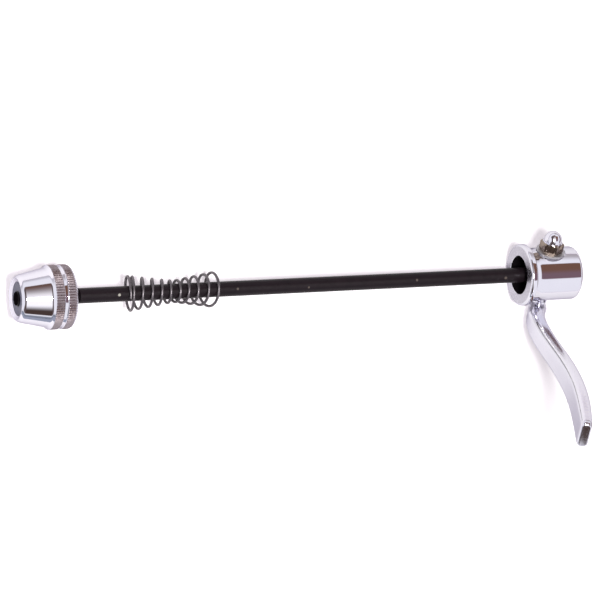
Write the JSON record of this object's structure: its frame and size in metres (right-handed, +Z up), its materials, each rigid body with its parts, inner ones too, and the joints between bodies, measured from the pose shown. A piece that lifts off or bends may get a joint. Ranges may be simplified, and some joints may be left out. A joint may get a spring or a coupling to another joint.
{
  "type": "quick release skewer",
  "caption": "Bicycle hub skewer: dark threaded rod with conical springs, cam lever in a flanged barrel, and a conical adjusting nut with a knurled rim.",
  "frame": {"origin": "on the rod's axis, in the plane of the cam housing's clamp face", "axes": "+X along the rod from the adjusting nut to the lever, +Z up as it lies on the ground, +Y to the cap nut's side"},
  "size_m": [0.1959, 0.0702, 0.0553],
  "materials": {
    "dark_steel": "black oxide, slightly glossy",
    "chrome": "polished chrome plate",
    "insert": "slate grey nylon",
    "spring_steel": "bare spring wire",
    "zinc": "zinc plate"
  },
  "bodies": {
    "housing": {"cam_housing": "chrome", "washer": "zinc"},
    "lever_arm": {"lever": "chrome", "cap_nut": "chrome"},
    "rod": {"skewer_rod": "dark_steel"},
    "insert": {"lock_insert": "insert"},
    "nut": {"adjusting_nut": "chrome"},
    "spring_by_nut": {"nut_spring": "spring_steel"},
    "spring_by_lever": {"lever_spring": "spring_steel"}
  },
  "joints": [
    {"name": "lever_turn", "type": "hinge", "parent": "housing", "child": "lever_arm", "pos_m": [0.0099, 0, 0], "axis": [0, 0.8484, 0.5294], "range_deg": [0, 180]},
    {"name": "rod_pull", "type": "slide", "parent": "housing", "child": "rod", "axis": [1, 0, 0], "range_m": [-0.0014, 0]},
    {"name": "nut_travel", "type": "slide", "parent": "rod", "child": "insert", "axis": [1, 0, 0], "range_m": [-0.0096, 0.0024]},
    {"name": "nut_turn", "type": "hinge", "parent": "insert", "child": "nut", "pos_m": [-0.158, 0, 0], "axis": [1, 0, 0], "range_deg": [-4320, 1080]},
    {"name": "nut_spring_slide", "type": "slide", "parent": "rod", "child": "spring_by_nut", "axis": [1, 0, 0], "range_m": [-0.014, 0]},
    {"name": "lever_spring_slide", "type": "slide", "parent": "rod", "child": "spring_by_lever", "axis": [1, 0, 0], "range_m": [0, 0.1]}
  ],
  "couplings": [
    {"joint": "rod_pull", "follows": "lever_turn", "m_per_rad": -0.00044563},
    {"joint": "nut_travel", "follows": "nut_turn", "m_per_rad": 0.00012732}
  ]
}
